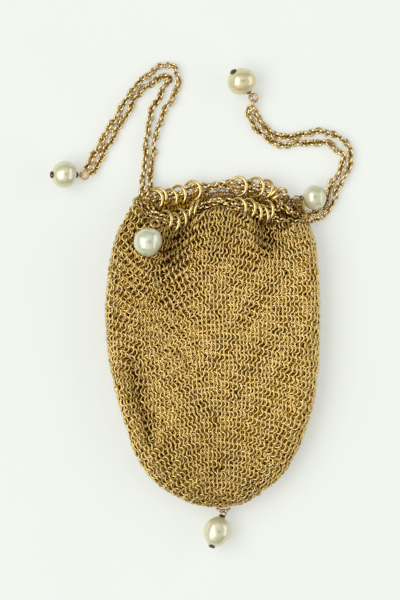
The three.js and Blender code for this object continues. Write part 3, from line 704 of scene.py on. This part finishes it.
WIRE_BRIGHT = (0.84, 0.65, 0.25, 1)
WIRE_RED = (0.74, 0.53, 0.17, 1)
WIRE_TINT_SIZE = 4 * MM
STAIN_SIZE = 1.6 * MM
STAIN_DETAIL = 3.0
STAIN_COLOUR_AT = (0.62, 0.78)
STAIN_ROUGH_AT = (0.6, 0.8)
STAIN_ROUGH = 0.2
RUB_SIZE = 0.25 * MM
RUB_DEPTH = 0.006 * MM
RUB_ROUGH = 0.14
WIRE_ROUGH = 0.16


def plain_gold(name, red, bright, dull):
    """Smooth gold wire with a few dull stains."""
    fixed = {"Metallic": 1.0, "Coat IOR": 1.7, "Coat Weight": 1.0, "Coat Roughness": 0.1}
    finish, tone = new_finish(name, fixed)
    stain = tone.mottle(STAIN_SIZE, STAIN_DETAIL)
    rub = tone.mottle(RUB_SIZE)
    clean_wire = tone.mottle(WIRE_TINT_SIZE).between(red, bright)
    vary(
        finish,
        base_color=stain.spread(*STAIN_COLOUR_AT).between(clean_wire, dull),
        roughness=WIRE_ROUGH + RUB_ROUGH * rub + STAIN_ROUGH * stain.spread(*STAIN_ROUGH_AT),
        normal=bumpy(tone, rub, RUB_DEPTH),
    )
    return finish


ring_gold = plain_gold("plain_ring_gold", WIRE_RED, WIRE_BRIGHT, GOLD_DULL)
for row in MOUTH_RINGS:
    shape = bmesh.new()
    spun_ring(shape, MOUTH_RING_RADIUS, MOUTH_RING_WIRE, MOUTH_RING_STEPS, MOUTH_RING_SIDES)
    place = placed(row["at"], lean_axis(row["lean"], row["heading"]))
    bmesh.ops.transform(shape, verts=shape.verts, matrix=place)
    ring = add_piece("gathering_ring_" + row["name"], shape, ring_gold)
    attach(ring, "root")
    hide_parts("mouth_ring_" + row["name"])

# Five pearls of slightly uneven shape are drilled for their pins: one on the end of each pull, one at each
# side of the mouth and one at the bottom. The two at the mouth are drilled from one side only.
# Each has a tint of its own, from cool white to cream.
PEARL_BORE = 1.1
PEARL_RINGS = 40
PEARL_SIDES = 48
PEARL_LUMP = 0.15
PEARL_LUMP_LENGTH = 2.2
MERGE_WITHIN = 1e-4
DROPS = [
    {"name": "left_pull", "at": (-38.7, 45.5, 3.45), "toward": (0.93, 0, -0.37), "length": 6.5,
     "girth": 6.8, "taper": 0.03, "tint": 0.45, "collar": 0.4, "riveted": True, "flat_eye": False},
    {"name": "right_pull", "at": (7.2, 69.7, 3.55), "toward": (0.56, -0.72, -0.41), "length": 6.8,
     "girth": 7.0, "taper": -0.05, "tint": 1.0, "collar": 0.4, "riveted": True, "flat_eye": False},
    {"name": "left_mouth", "at": (-17.0, 28.0, 12.5), "toward": (0.32, 0.8, -0.51), "length": 7.3,
     "girth": 7.1, "taper": 0.05, "tint": 0.0, "collar": 0.4, "riveted": False, "flat_eye": False},
    {"name": "right_mouth", "at": (26.4, 39.6, 3.4), "toward": (-0.98, -0.08, 0), "length": 6.1,
     "girth": 6.7, "taper": -0.02, "tint": 0.25, "collar": 0.8, "riveted": False, "flat_eye": True},
    {"name": "bottom", "at": (1.0, -47.1, 3.6), "toward": (0.32, 0.93, -0.18), "length": 8.0,
     "girth": 6.9, "taper": 0.09, "tint": 0.5, "collar": 0.4, "riveted": True, "flat_eye": True},
]

# Lobes that grew out of the pearls, and a groove that grew round one of them
LOBE_REACH = math.radians(44)
PEARL_LOBES = [
    {"on": "left_pull", "toward": (0.55, 0.8, 0.3), "rise": 0.35},
    {"on": "right_pull", "toward": (0.97, 0.12, 0.25), "rise": 0.75},
    {"on": "left_mouth", "toward": (0.85, 0.5, 0.2), "rise": 0.4},
    {"on": "left_mouth", "toward": (0.15, -0.97, 0.2), "rise": 0.3},
    {"on": "bottom", "toward": (0.97, 0.05, 0.2), "rise": 0.35},
]
PEARL_GROOVE = {"on": "right_mouth", "at": -0.9, "width": 0.65, "depth": 0.17}


def lathed(shape, profile, sides):
    """Adds a profile of (radius, height) points, turned about the Y axis, to a bmesh."""
    points = [shape.verts.new((radius, height, 0)) for radius, height in profile]
    edges = [shape.edges.new(pair) for pair in zip(points, points[1:])]
    bmesh.ops.spin(
        shape, geom=[*points, *edges], axis=(0, 1, 0), angle=2 * math.pi, steps=sides, use_merge=True
    )
    bmesh.ops.remove_doubles(shape, verts=shape.verts, dist=MERGE_WITHIN)
    bmesh.ops.recalc_face_normals(shape, faces=shape.faces)


def pearl_profile(drop):
    """Half outline of a pearl from its far end to its eye's end, and back down its bore."""
    bore = PEARL_BORE / 2
    top = math.pi - math.asin(PEARL_BORE / drop["girth"])
    start = math.pi - top if drop["riveted"] else 0
    profile = []
    for i in range(PEARL_RINGS + 1):
        angle = start + (top - start) * i / PEARL_RINGS
        swell = 1 - drop["taper"] * math.cos(angle) * math.sin(angle) ** 2
        profile.append((drop["girth"] / 2 * math.sin(angle) * swell, -drop["length"] / 2 * math.cos(angle)))
    if drop["riveted"]:
        return [*profile, profile[0]]
    return [*profile, (bore, 0), (0, 0)]


def drop_frame(drop):
    """The place of a drop: Y towards its eye, and Z along the eye's own axis."""
    y = Vector(drop["toward"]).normalized()
    level = Vector((0, 0, 1)).cross(y).normalized()
    z = y.cross(level) if drop["flat_eye"] else level
    turn = Matrix((y.cross(z), y, z)).transposed().to_4x4()
    return Matrix.Scale(MM, 4) @ Matrix.Translation(drop["at"]) @ turn


def growth(drop, turn, point):
    """How far a pearl stands out of its plain round shape, at a point on its surface."""
    far = PEARL_LUMP * noise.noise(point / PEARL_LUMP_LENGTH + Vector(drop["at"]))
    for lobe in PEARL_LOBES:
        if lobe["on"] == drop["name"]:
            far += lobe["rise"] * bell((turn @ point).angle(lobe["toward"], 0) / LOBE_REACH)
    if PEARL_GROOVE["on"] == drop["name"]:
        far -= PEARL_GROOVE["depth"] * bell((point.y - PEARL_GROOVE["at"]) / PEARL_GROOVE["width"])
    return far * ramp(math.hypot(point.x, point.z) / PEARL_BORE - 1)


NACRE_COOL = (0.64, 0.65, 0.455, 1)
NACRE_WARM = (0.70, 0.575, 0.28, 1)
NACRE_GREEN = (0.55, 0.58, 0.295, 1)
NACRE_DETAIL = 1.0
CLOUD_SIZE = 4.5 * MM
CLOUD_TINT = 0.5
RIPPLE_SIZE = 1.8 * MM
RIPPLE_DEPTH = 0.03 * MM
RIPPLE_GREEN_AT = (0.45, 0.8)
NACRE_ROUGH = 0.26
RIPPLE_ROUGH = 0.1
LUSTRE = 0.75
CLOUD_LUSTRE = 0.25
nacre, tone = new_finish("nacre", {"Metallic": 0.15, "Coat IOR": 2.9, "Coat Roughness": 0.26})
cloud = tone.mottle(CLOUD_SIZE, NACRE_DETAIL)
ripple = tone.mottle(RIPPLE_SIZE, NACRE_DETAIL)
tint = tone.node("Attribute", {"attribute_name": "tint"}, {}, "Fac")
cream = (tint + CLOUD_TINT * (cloud - 0.5)).between(NACRE_COOL, NACRE_WARM)
vary(
    nacre,
    base_color=ripple.spread(*RIPPLE_GREEN_AT).between(cream, NACRE_GREEN),
    roughness=NACRE_ROUGH + RIPPLE_ROUGH * ripple,
    coat_weight=LUSTRE + CLOUD_LUSTRE * cloud,
    normal=bumpy(tone, ripple, RIPPLE_DEPTH),
)
for drop in DROPS:
    shape = bmesh.new()
    lathed(shape, pearl_profile(drop), PEARL_SIDES)
    place = drop_frame(drop)
    turn = place.to_3x3().normalized()
    for vertex in shape.verts:
        vertex.co += vertex.co.normalized() * growth(drop, turn, vertex.co)
    bmesh.ops.transform(shape, verts=shape.verts, matrix=place)
    pearl = add_piece("drop_pearl_" + drop["name"], shape, nacre)
    tints = pearl.data.attributes.new("tint", "FLOAT", "POINT")
    tints.data.foreach_set("value", [drop["tint"]] * len(pearl.data.vertices))
    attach(pearl, "root")
    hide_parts("pearl_" + drop["name"])

# Each pearl hangs on a pin of dark tarnished metal: a shank with a collar on the pearl, and an eye of gold
# wire. Three pins go right through and are riveted over on the far side.
PIN_DIAMETER = 0.6
PIN_HEAD_DIAMETER = 1.9
PIN_HEAD_THICKNESS = 0.4
PIN_COLLAR_DIAMETER = 1.8
PIN_SEAT_GAP = 0.15
PIN_TAPER = 0.8
PIN_SIDES = 24
HEAD_CROWN = [(0.5, 0.03), (PIN_TAPER, 0.12)]
COLLAR_EDGE = 0.08
EYE_RADIUS = 0.8
EYE_WIRE = 0.4
EYE_STEPS = 24
EYE_SIDES = 10
PIN_DARK = (0.045, 0.032, 0.024, 1)
PIN_BROWN = (0.20, 0.13, 0.065, 1)
PIN_GOLD = (0.55, 0.38, 0.15, 1)
JOINT_RED = (0.48, 0.27, 0.09, 1)
JOINT_BRIGHT = (0.70, 0.48, 0.19, 1)
CRUST_SIZE = 0.5 * MM
CRUST_DETAIL = 4.0
CRUST_DEPTH = 0.03 * MM
CRUST_BROWN_AT = (0.35, 0.6)
CRUST_GOLD_AT = (0.58, 0.7)
PIN_ROUGH = 0.32
CRUST_ROUGH = 0.3


def pin_seat(drop):
    """Height of the collar's underside above the pearl's middle."""
    return drop["length"] / 2 * math.cos(math.asin(PEARL_BORE / drop["girth"])) + PIN_SEAT_GAP


def eye_height(drop):
    return pin_seat(drop) + drop["collar"] + EYE_RADIUS


def pin_profile(drop):
    """Half outline of a pin: rivet head or blunt end, shank and collar."""
    seat, shank = pin_seat(drop), PIN_DIAMETER / 2
    head, collar = PIN_HEAD_DIAMETER / 2, PIN_COLLAR_DIAMETER / 2
    foot = -seat - PIN_HEAD_THICKNESS
    crown = [(head * share, foot + rise) for share, rise in HEAD_CROWN]
    rivet = [(0, foot), *crown, (head, -seat), (shank, -seat)]
    blunt = [(0, PIN_SEAT_GAP), (shank, PIN_SEAT_GAP)]
    top = seat + drop["collar"]
    cap = [(shank, seat), (collar, seat), (collar, seat + COLLAR_EDGE), (collar * PIN_TAPER, top), (0, top)]
    return (rivet if drop["riveted"] else blunt) + cap


joint_gold = plain_gold("brown_joint_gold", JOINT_RED, JOINT_BRIGHT, TARNISH)
pin_metal, tone = new_finish("tarnished_pin", {"Metallic": 0.9})
crust = tone.mottle(CRUST_SIZE, CRUST_DETAIL)
aged = crust.spread(*CRUST_BROWN_AT).between(PIN_DARK, PIN_BROWN)
vary(
    pin_metal,
    base_color=crust.spread(*CRUST_GOLD_AT).between(aged, PIN_GOLD),
    roughness=PIN_ROUGH + CRUST_ROUGH * crust,
    normal=bumpy(tone, crust, CRUST_DEPTH),
)
for drop in DROPS:
    shape = bmesh.new()
    lathed(shape, pin_profile(drop), PIN_SIDES)
    eye = spun_ring(shape, EYE_RADIUS, EYE_WIRE, EYE_STEPS, EYE_SIDES)
    for face in {face for vertex in eye for face in vertex.link_faces}:
        face.material_index = 1
    bmesh.ops.translate(shape, verts=eye, vec=(0, eye_height(drop), 0))
    bmesh.ops.transform(shape, verts=shape.verts, matrix=drop_frame(drop))
    pin = add_piece("drop_pin_" + drop["name"], shape, pin_metal)
    pin.data.materials.append(joint_gold)
    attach(pin, "root")
    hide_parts("pin_" + drop["name"])

# Small rings of gold wire join the eyes of the pins to the chains and to the mail.
# Each is placed from the eye or ring that it runs through.
JUMP_RING_WIRE = 0.68
JUMP_RING_STEPS = 28
JUMP_RING_SIDES = 10
JUMP_RINGS = [
    {"name": "left_pull", "on": "left_pull", "radius": 1.05, "off": (0.97, -0.05, 0.1), "slack": 0,
     "axis": (0, 0, 1)},
    {"name": "right_pull_1", "on": "right_pull", "radius": 1.05, "off": (0.61, -0.79, 0.1), "slack": 0,
     "axis": (0, 0, 1)},
    {"name": "right_pull_2", "on": "right_pull_1", "radius": 0.9, "off": (-0.1, -1, 0), "slack": 0.45,
     "axis": (1, -0.1, 0)},
    {"name": "left_mouth", "on": "left_mouth", "radius": 1.1, "off": (0.3, 0.8, -0.5), "slack": 0,
     "axis": (0, 0, 1)},
    {"name": "right_mouth", "on": "right_mouth", "radius": 1.2, "off": (-0.2, -0.95, -0.2), "slack": 0,
     "axis": (0.9, -0.2, 0.4)},
    {"name": "bottom_1", "on": "bottom", "radius": 0.8, "off": (-0.85, 0.5, 0), "slack": 0.3,
     "axis": (0.5, 0.85, 0)},
    {"name": "bottom_2", "on": "bottom", "radius": 0.8, "off": (0.85, 0.5, 0), "slack": 0.3,
     "axis": (-0.5, 0.85, 0)},
]
hung_at = {
    drop["name"]: Vector(drop["at"]) + Vector(drop["toward"]).normalized() * eye_height(drop)
    for drop in DROPS
}
jump_places = {}
for row in JUMP_RINGS:
    way = Vector(row["off"]).normalized()
    middle = hung_at[row["on"]] + way * (row["radius"] + row["slack"])
    axis = Vector(row["axis"])
    axis = (axis - way * axis.dot(way)).normalized()
    hung_at[row["name"]] = middle
    jump_places[row["name"]] = (middle, axis, row["radius"])
    shape = bmesh.new()
    spun_ring(shape, row["radius"], JUMP_RING_WIRE, JUMP_RING_STEPS, JUMP_RING_SIDES)
    bmesh.ops.transform(shape, verts=shape.verts, matrix=placed(middle, axis))
    ring = add_piece("joining_ring_" + row["name"], shape, joint_gold)
    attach(ring, "root")
    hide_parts("jump_ring_" + row["name"])

# Two fine chains of round gold links run side by side through the mouth rings. Each turns back inside the
# far corner and leaves on its own side as a double pull, with its two last links on the ring of a pearl.
CHAIN_LIE = 0.7
STRAND_SPACING = 1.46
FRONT_RUN = [
    ((-12.6, 33.7, 6.6), 0),
    ((-10.6, 33.1, 6.7), 0),
    ((-8.5, 34.0, 6.3), 0),
    ((-6.9, 35.0, 5.7), 30),
    ((-5.4, 35.9, 5.2), 60),
    ((-4.1, 36.4, 5.2), 75),
    ((-1.6, 37.7, 5.2), 90),
    ((1.2, 38.4, 5.4), 125),
    ((3.9, 37.9, 6.4), 165),
    ((6.5, 36.9, 6.2), 180),
    ((9.0, 36.6, 6.2), 180),
    ((11.0, 35.8, 6.2), 180),
    ((12.8, 35.5, 6.2), 180),
    ((14.0, 35.9, 6.2), 180),
]
BACK_RUN = [
    ((-15.4, 39.1, 3.0), 0),
    ((-14.2, 39.5, 2.6), 0),
    ((-11.3, 39.5, 2.6), 0),
    ((-9.0, 40.1, 2.6), 0),
    ((-7.2, 40.8, 2.7), 0),
    ((-5.3, 41.4, 2.6), 0),
    ((-2.6, 42.0, 2.3), 40),
    ((-0.5, 42.4, 2.3), 80),
    ((1.6, 42.7, 2.4), 120),
    ((3.5, 42.8, 2.7), 160),
    ((6.6, 42.4, 2.6), 180),
    ((8.8, 42.5, 2.7), 180),
    ((11.1, 42.3, 2.6), 180),
    ((13.5, 41.8, 2.7), 180),
    ((16.6, 40.3, 3.2), 180),
    ((17.3, 38.8, 3.8), 180),
]
LEFT_TURN = [(-15.2, 35.4, 6.4), (-16.7, 36.7, 5.0), (-16.9, 38.1, 3.4)]
RIGHT_TURN = [(16.8, 37.3, 4.5), (16.4, 36.6, 5.4), (15.2, 36.5, 6.0)]
LEFT_EXIT_FRONT = [(-15.2, 33.9, 6.6), (-17.3, 35.0, 5.4), (-18.4, 37.2, 4.2), (-18.6, 39.8, 3.0)]
LEFT_EXIT_BACK = [(-17.2, 40.4, 3.6)]
RIGHT_EXIT_FRONT = [
    (15.8, 34.4, 6.0), (18.4, 33.5, 5.8), (21.4, 33.3, 5.2),
    (24.4, 33.8, 4.0), (27.2, 34.1, 2.2), (29.6, 35.7, 0.9),
]
RIGHT_EXIT_BACK = [
    (18.4, 37.4, 4.6), (19.5, 36.1, 5.2), (21.4, 35.2, 5.0),
    (23.4, 35.3, 4.2), (25.4, 35.4, 3.0), (26.8, 35.7, 1.9), (28.4, 36.9, 0.8),
]
LEFT_PULL = [
    ((-17.4, 42.7, 2.3), 0.95),
    ((-17.0, 46.6, CHAIN_LIE), 0.95),
    ((-16.6, 51.2, CHAIN_LIE), 0.95),
    ((-16.1, 54.6, CHAIN_LIE), 1.1),
    ((-15.6, 57.7, CHAIN_LIE), 1.25),
    ((-14.4, 61.6, CHAIN_LIE), 1.45),
    ((-12.4, 65.3, CHAIN_LIE), 1.65),
    ((-11.1, 68.1, CHAIN_LIE), 1.6),
    ((-9.9, 70.2, CHAIN_LIE), 1.15),
    ((-10.9, 72.2, CHAIN_LIE), 1.3),
    ((-13.5, 72.2, CHAIN_LIE), 1.6),
    ((-16.4, 70.4, CHAIN_LIE), 1.1),
    ((-18.9, 68.4, CHAIN_LIE), 1.0),
    ((-21.2, 65.5, CHAIN_LIE), 0.98),
    ((-23.8, 60.9, CHAIN_LIE), 0.98),
    ((-26.2, 57.0, CHAIN_LIE), 0.98),
    ((-28.9, 52.3, CHAIN_LIE), 0.98),
    ((-31.1, 48.4, 1.0), 0.95),
    ((-32.0, 46.9, 1.3), 0.92),
]
RIGHT_PULL = [
    ((30.2, 38.5, CHAIN_LIE), 0.85),
    ((31.2, 41.6, CHAIN_LIE), 0.95),
    ((33.0, 44.6, CHAIN_LIE), 0.95),
    ((34.4, 48.0, CHAIN_LIE), 0.95),
    ((34.9, 50.7, CHAIN_LIE), 1.05),
    ((33.6, 52.8, CHAIN_LIE), 1.4),
    ((31.4, 54.3, CHAIN_LIE), 1.5),
    ((29.4, 55.4, CHAIN_LIE), 1.4),
    ((27.0, 55.3, CHAIN_LIE), 1.3),
    ((24.4, 55.0, CHAIN_LIE), 1.25),
    ((21.4, 54.7, CHAIN_LIE), 1.05),
    ((17.7, 54.3, CHAIN_LIE), 0.98),
    ((15.4, 55.3, CHAIN_LIE), 0.98),
    ((13.2, 57.0, CHAIN_LIE), 0.98),
    ((11.4, 59.0, CHAIN_LIE), 0.98),
    ((10.3, 60.9, CHAIN_LIE), 0.95),
    ((9.9, 62.4, 1.1), 0.92),
]


def across_run(run):
    """Level directions across a run, to the left of the way along."""
    at = np.array([place for place, _ in run])
    ends = np.pad(at, ((1, 1), (0, 0)), mode="edge")
    way = ends[2:] - ends[:-2]
    return at, unit(np.stack((-way[:, 1], way[:, 0], np.zeros(len(at))), axis=1))


def run_strand(run, side):
    """One of the two strands through the rings. Their twist turns them about each other."""
    at, across = across_run(run)
    turn = np.radians([twist for _, twist in run])[:, None]
    return at + side * STRAND_SPACING / 2 * (np.cos(turn) * across + np.sin(turn) * np.array((0, 0, 1)))


def pull_strand(pull, side):
    """One of the two strands of a pull, at half their spread from its middle."""
    at, across = across_run(pull)
    return at + side * np.array([spread for _, spread in pull])[:, None] * across


def hooked(strand, ring):
    """The strand with one more point, where its last link holds the ring."""
    middle, axis, radius = jump_places[ring]
    way = Vector(strand[-1]) - middle
    way = (way - axis * way.dot(axis)).normalized()
    return np.vstack((strand, middle + way * radius))


chain_points = {
    "drawstring_chain_left": [
        hooked(pull_strand(LEFT_PULL, 1), "left_pull")[::-1],
        LEFT_EXIT_FRONT[::-1],
        run_strand(FRONT_RUN, -1),
        RIGHT_TURN[::-1],
        run_strand(BACK_RUN, 1)[::-1],
        LEFT_EXIT_BACK,
        hooked(pull_strand(LEFT_PULL, -1), "left_pull"),
    ],
    "drawstring_chain_right": [
        hooked(pull_strand(RIGHT_PULL, -1), "right_pull_2")[::-1],
        RIGHT_EXIT_FRONT[::-1],
        run_strand(FRONT_RUN, 1)[::-1],
        LEFT_TURN,
        run_strand(BACK_RUN, -1),
        RIGHT_EXIT_BACK,
        hooked(pull_strand(RIGHT_PULL, 1), "right_pull_2"),
    ],
}

LINK_RADIUS = 0.77
LINK_WIRE = 0.62
LINK_PITCH = 0.97
LINK_ROLL = math.radians(45)
STRAND_ROLL = math.radians(20)
WANDER_WAYS = (4.7, 8.3)
WANDER_FAR = 0.16
UNEVEN_ROLL = math.radians(20)
UNEVEN_PLACE = 0.06
ROUTE_STEP = 0.1
CHAIN_TARNISH = (0.36, 0.235, 0.05, 1)
chain_gold = worn_gold("worn_chain_gold", CHAIN_TARNISH, hollow=0.2, proud_at=0.85, rough=0.08, film=3.0)
for node, stretches in chain_points.items():
    knots = np.vstack(stretches)
    knot_ways = np.concatenate(([0], np.cumsum(np.linalg.norm(np.diff(knots, axis=0), axis=1))))
    link_count = round((knot_ways[-1] - 2 * LINK_RADIUS) / LINK_PITCH)
    ways = np.linspace(LINK_RADIUS, knot_ways[-1] - LINK_RADIUS, link_count)
    before, on, after = [
        np.stack([smooth_through(knot_ways, knots[:, axis], ways + step) for axis in range(3)], axis=1)
        for step in (-ROUTE_STEP, 0, ROUTE_STEP)
    ]
    tangent = unit(after - before)
    level = unit(np.cross(np.array((0, 0, 1)), tangent))
    rolls = STRAND_ROLL + LINK_ROLL * (1 - 2 * (np.arange(link_count) % 2))
    rolls += chance.normal(0, UNEVEN_ROLL, link_count)
    wide = np.cos(rolls)[:, None] * level + np.sin(rolls)[:, None] * np.cross(tangent, level)
    wander = sum(np.sin(2 * math.pi * (ways / length + chance.random())) for length in WANDER_WAYS)
    loose = ramp(np.minimum(ways, ways[::-1]) / WANDER_WAYS[0])
    middles = on + (WANDER_FAR * loose * wander)[:, None] * level + chance.normal(0, UNEVEN_PLACE, on.shape)
    points = ring_points(middles, tangent, wide, LINK_RADIUS, LINK_WIRE)
    away = points - middles[:, None, None]
    forward = tangent[:, None, None]
    sideways = away - forward * np.sum(away * forward, axis=-1, keepdims=True)
    shades = {
        "proud": np.linalg.norm(sideways, axis=-1) / (LINK_RADIUS + LINK_WIRE / 2),
        "ring_tone": np.broadcast_to(chance.random(link_count)[:, None, None], points.shape[:3]),
    }
    chain = add_rings("linked_" + node, on_table(points), shades, chain_gold)
    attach(chain, "root")
    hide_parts(node)
